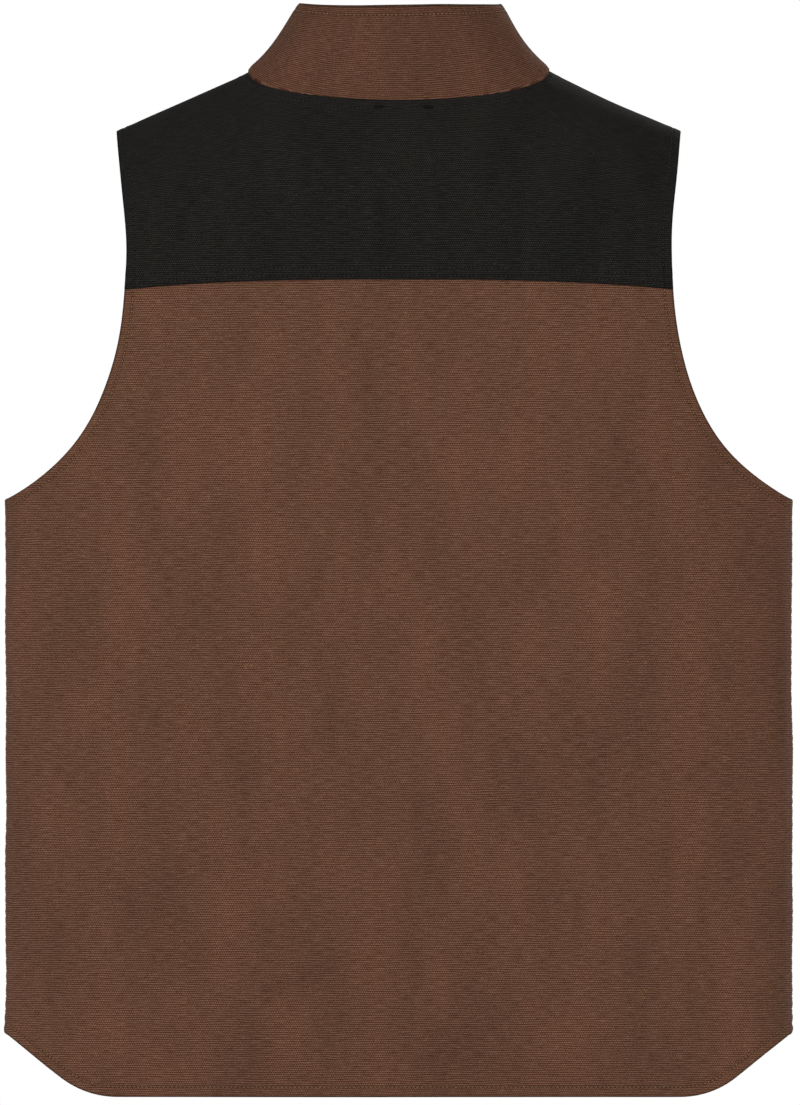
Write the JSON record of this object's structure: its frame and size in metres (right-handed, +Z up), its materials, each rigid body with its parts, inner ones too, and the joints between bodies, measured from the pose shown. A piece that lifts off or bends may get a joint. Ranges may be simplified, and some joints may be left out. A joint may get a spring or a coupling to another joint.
{
  "type": "fishing vest",
  "caption": "Sleeveless canvas vest with a dark shoulder yoke, stand collar, dropped curved back hem, separating front zip, zipped chest pocket and patch pockets with snap flaps.",
  "frame": {"origin": "midway between the high points of the shoulders at the neck seam, where a hanger carries the vest", "axes": "+Z up, the wearer faces +Y, and the wearer's left is -X"},
  "size_m": [0.574, 0.1435, 0.7975],
  "materials": {
    "brown_duck": "matte heathered canvas",
    "black_duck": "matte canvas",
    "lining": "quilted nylon",
    "webbing": "woven tape",
    "label_cloth": "plain woven label",
    "zip_brass": "antique brass"
  },
  "bodies": {
    "root": {"back_panel": "brown_duck", "back_hem_facing": "brown_duck", "collar_back": "brown_duck", "collar_back_lining": "brown_duck", "yoke": "black_duck", "back_lining": "lining", "left_front_panel": "brown_duck", "left_front_hem_facing": "brown_duck", "left_patch_pocket": "brown_duck", "left_front_yoke": "black_duck", "left_back_armhole_facing": "black_duck", "left_front_armhole_facing": "black_duck", "left_front_lining": "lining", "left_snap_stud": "zip_brass", "right_front_panel": "brown_duck", "right_front_hem_facing": "brown_duck", "right_patch_pocket": "brown_duck", "right_front_yoke": "black_duck", "right_back_armhole_facing": "black_duck", "right_front_armhole_facing": "black_duck", "right_front_lining": "lining", "right_snap_stud": "zip_brass", "chest_zip_tape": "webbing", "hang_loop": "webbing", "chest_pocket_bag": "webbing", "neck_label": "label_cloth", "chest_zip_teeth": "zip_brass"},
    "left_front": {"left_front_yoke_edge": "black_duck", "left_front_edge_panel": "brown_duck", "left_front_facing": "brown_duck", "left_collar_front": "brown_duck", "left_collar_front_lining": "brown_duck", "left_zip_tape": "webbing", "left_zip_teeth": "zip_brass", "retainer_box": "zip_brass"},
    "right_front": {"right_front_yoke_edge": "black_duck", "right_front_edge_panel": "brown_duck", "right_front_facing": "brown_duck", "right_collar_front": "brown_duck", "right_collar_front_lining": "brown_duck", "right_zip_tape": "webbing", "right_zip_teeth": "zip_brass", "insertion_pin": "zip_brass"},
    "zip_slider": {"zip_slider": "zip_brass"},
    "zip_pull": {"zip_pull": "zip_brass"},
    "chest_slider": {"chest_slider": "zip_brass"},
    "chest_pull": {"chest_pull": "zip_brass"},
    "left_flap": {"left_pocket_flap": "brown_duck", "left_snap_cap": "zip_brass"},
    "right_flap": {"right_pocket_flap": "brown_duck", "right_snap_cap": "zip_brass"}
  },
  "joints": [
    {"name": "left_front_fold", "type": "hinge", "parent": "root", "child": "left_front", "pos_m": [-0.085, 0.06098, -0.38], "axis": [0, 0, 1], "range_deg": [0, 80]},
    {"name": "right_front_fold", "type": "hinge", "parent": "root", "child": "right_front", "pos_m": [0.085, 0.06098, -0.38], "axis": [0, 0, -1], "range_deg": [0, 80]},
    {"name": "zip_slide", "type": "slide", "parent": "left_front", "child": "zip_slider", "axis": [0, 0, -1], "range_m": [0, 0.662]},
    {"name": "zip_pull_swing", "type": "hinge", "parent": "zip_slider", "child": "zip_pull", "pos_m": [0, 0.0628, -0.024], "axis": [1, 0, 0], "range_deg": [0, 150]},
    {"name": "chest_zip_slide", "type": "slide", "parent": "root", "child": "chest_slider", "axis": [0, 0, -1], "range_m": [0, 0.117]},
    {"name": "chest_pull_swing", "type": "hinge", "parent": "chest_slider", "child": "chest_pull", "pos_m": [-0.11825, 0.06527, -0.189], "axis": [0.9993, 0.0371, 0], "range_deg": [0, 150]},
    {"name": "left_flap_lift", "type": "hinge", "parent": "root", "child": "left_flap", "pos_m": [-0.168, 0.05834, -0.412], "axis": [0.9949, 0.1008, 0], "range_deg": [0, 110]},
    {"name": "right_flap_lift", "type": "hinge", "parent": "root", "child": "right_flap", "pos_m": [0.168, 0.05834, -0.412], "axis": [0.9949, -0.1008, 0], "range_deg": [0, 110]}
  ]
}
